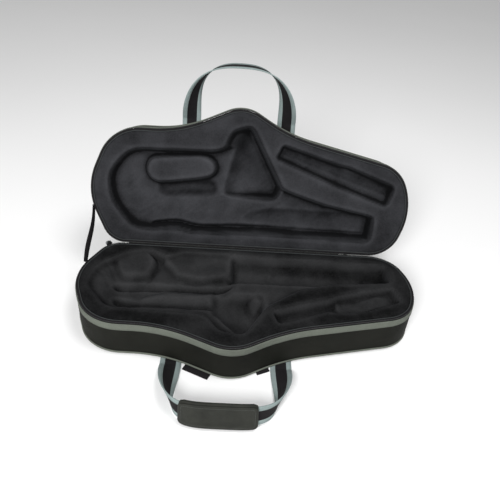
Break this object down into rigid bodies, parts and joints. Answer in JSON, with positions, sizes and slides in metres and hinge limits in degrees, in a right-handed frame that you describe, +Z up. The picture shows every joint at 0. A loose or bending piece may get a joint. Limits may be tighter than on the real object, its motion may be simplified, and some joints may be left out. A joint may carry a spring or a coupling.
{
  "type": "instrument case",
  "caption": "Shaped hard-foam case for an alto saxophone, standing open, with a plush moulded interior, zip, webbing handles and a padded grip.",
  "frame": {"origin": "middle of the bottom panel's flat underside, 120 mm in front of the hinge line", "axes": "+Z up, +X to the right along the hinge line towards the neck end, +Y to the back"},
  "size_m": [0.6439, 0.5851, 0.3957],
  "materials": {
    "nylon": "matt woven nylon",
    "plush": "short-pile plush",
    "grey_webbing": "grey woven tape",
    "black_webbing": "woven webbing",
    "foam": "moulded hard foam",
    "vinyl": "grained vinyl",
    "zinc": "plated zinc"
  },
  "bodies": {
    "base": {"base_bottom_panel": "nylon", "base_side_cover": "nylon", "base_trim_band": "grey_webbing", "base_piping": "grey_webbing", "base_foam_body": "foam", "base_lining": "plush", "base_rim_binding": "black_webbing", "base_zipper_tape": "black_webbing", "base_handle_anchor_left": "black_webbing", "base_handle_anchor_right": "black_webbing", "strap_tab_left": "black_webbing", "strap_tab_right": "black_webbing", "hinge_fabric": "nylon", "stay_strap": "black_webbing"},
    "lid": {"lid_top_panel": "nylon", "lid_side_cover": "nylon", "lid_trim_band": "grey_webbing", "lid_piping": "grey_webbing", "lid_foam_body": "foam", "lid_lining": "plush", "lid_rim_binding": "black_webbing", "lid_zipper_tape": "black_webbing", "lid_handle_anchor_left": "black_webbing", "lid_handle_anchor_right": "black_webbing"},
    "front_handle": {"front_handle": "black_webbing", "grip_sleeve": "vinyl"},
    "grip_flap": {"grip_flap": "vinyl"},
    "lid_handle": {"lid_handle": "black_webbing"},
    "slider_left": {"zipper_slider_left": "zinc"},
    "slider_right": {"zipper_slider_right": "zinc"},
    "pull_left": {"zipper_pull_left": "zinc"},
    "pull_right": {"zipper_pull_right": "zinc"}
  },
  "joints": [
    {"name": "lid_hinge", "type": "hinge", "parent": "base", "child": "lid", "pos_m": [0, 0.12, 0.0775], "axis": [1, 0, 0], "range_deg": [0, 111], "deforming": ["hinge_fabric", "stay_strap"]},
    {"name": "front_handle_hinge", "type": "hinge", "parent": "base", "child": "front_handle", "pos_m": [0, -0.132, 0.0011], "axis": [-1, 0, 0], "range_deg": [0, 30]},
    {"name": "grip_flap_hinge", "type": "hinge", "parent": "front_handle", "child": "grip_flap", "pos_m": [-0.0395, -0.2531, 0.0482], "axis": [-1, 0, 0], "range_deg": [0, 60]},
    {"name": "lid_handle_hinge", "type": "hinge", "parent": "lid", "child": "lid_handle", "pos_m": [0, 0.28163, 0.28538], "axis": [1, 0, 0], "range_deg": [-150, 0]},
    {"name": "zipper_slider_left_turn", "type": "hinge", "parent": "base", "child": "slider_left", "pos_m": [-0.25259, 0.074, 0.0775], "axis": [0, 0, 1], "range_deg": [0, 27]},
    {"name": "zipper_slider_right_slide", "type": "slide", "parent": "base", "child": "slider_right", "axis": [1, 0, 0], "range_m": [0, 0.043]},
    {"name": "zipper_pull_left_swing", "type": "hinge", "parent": "slider_left", "child": "pull_left", "pos_m": [-0.28626, 0.1171, 0.0775], "axis": [0.788, 0.6157, 0], "range_deg": [0, 85]},
    {"name": "zipper_pull_right_swing", "type": "hinge", "parent": "slider_right", "child": "pull_right", "pos_m": [0.205, 0.1287, 0.0686], "axis": [1, 0, 0], "range_deg": [0, 60]}
  ]
}
